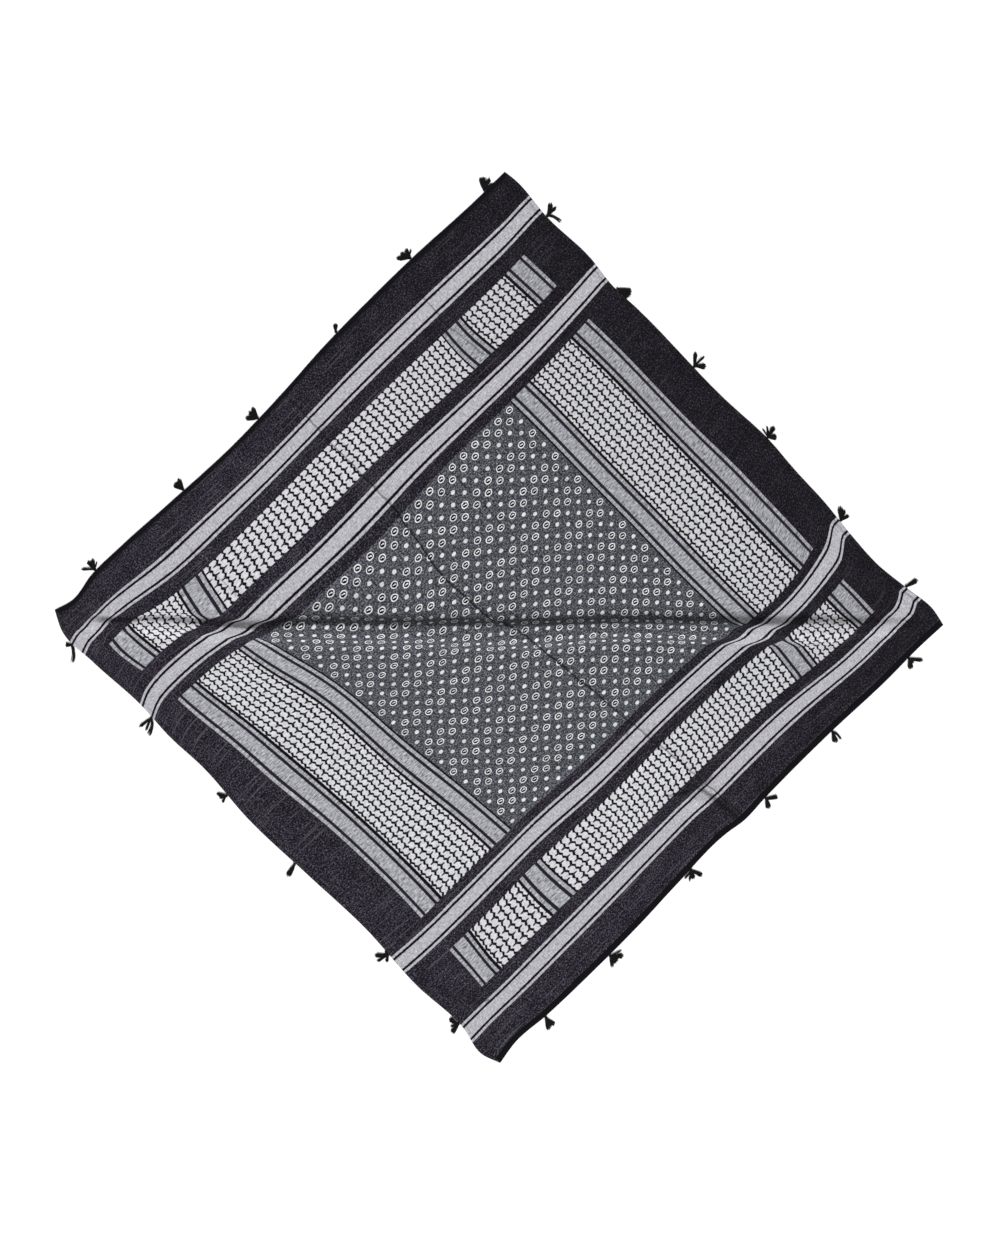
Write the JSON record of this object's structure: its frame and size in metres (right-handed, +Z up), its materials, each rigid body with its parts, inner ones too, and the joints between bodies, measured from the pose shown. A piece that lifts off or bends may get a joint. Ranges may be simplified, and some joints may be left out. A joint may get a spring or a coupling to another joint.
{
  "type": "keffiyeh headscarf",
  "caption": "Square woven cotton headscarf laid out flat corner up, with a striped and checked border, ring and dot field and small hem tassels.",
  "frame": {"origin": "centre of the laid-out scarf's outline, on the surface it lies on", "axes": "+Z up out of the surface, +Y toward the top corner, +X toward the right corner"},
  "size_m": [1.5533, 1.5573, 0.0235],
  "materials": {
    "cloth": "matte black cotton weave with grey and off-white figures",
    "hem": "matte black cotton, turned and sewn",
    "tassel": "black cotton yarn"
  },
  "bodies": {
    "root": {"woven_square": "cloth", "hem_upper_left": "hem", "hem_upper_right": "hem", "hem_lower_right": "hem", "hem_lower_left": "hem", "tassel_01": "tassel", "tassel_02": "tassel", "tassel_03": "tassel", "tassel_04": "tassel", "tassel_05": "tassel", "tassel_06": "tassel", "tassel_07": "tassel", "tassel_08": "tassel", "tassel_09": "tassel", "tassel_10": "tassel", "tassel_11": "tassel", "tassel_12": "tassel", "tassel_13": "tassel", "tassel_14": "tassel", "tassel_15": "tassel", "tassel_16": "tassel", "tassel_17": "tassel", "tassel_18": "tassel", "tassel_19": "tassel", "tassel_20": "tassel", "tassel_21": "tassel", "tassel_22": "tassel", "tassel_23": "tassel", "tassel_24": "tassel"}
  },
  "joints": []
}
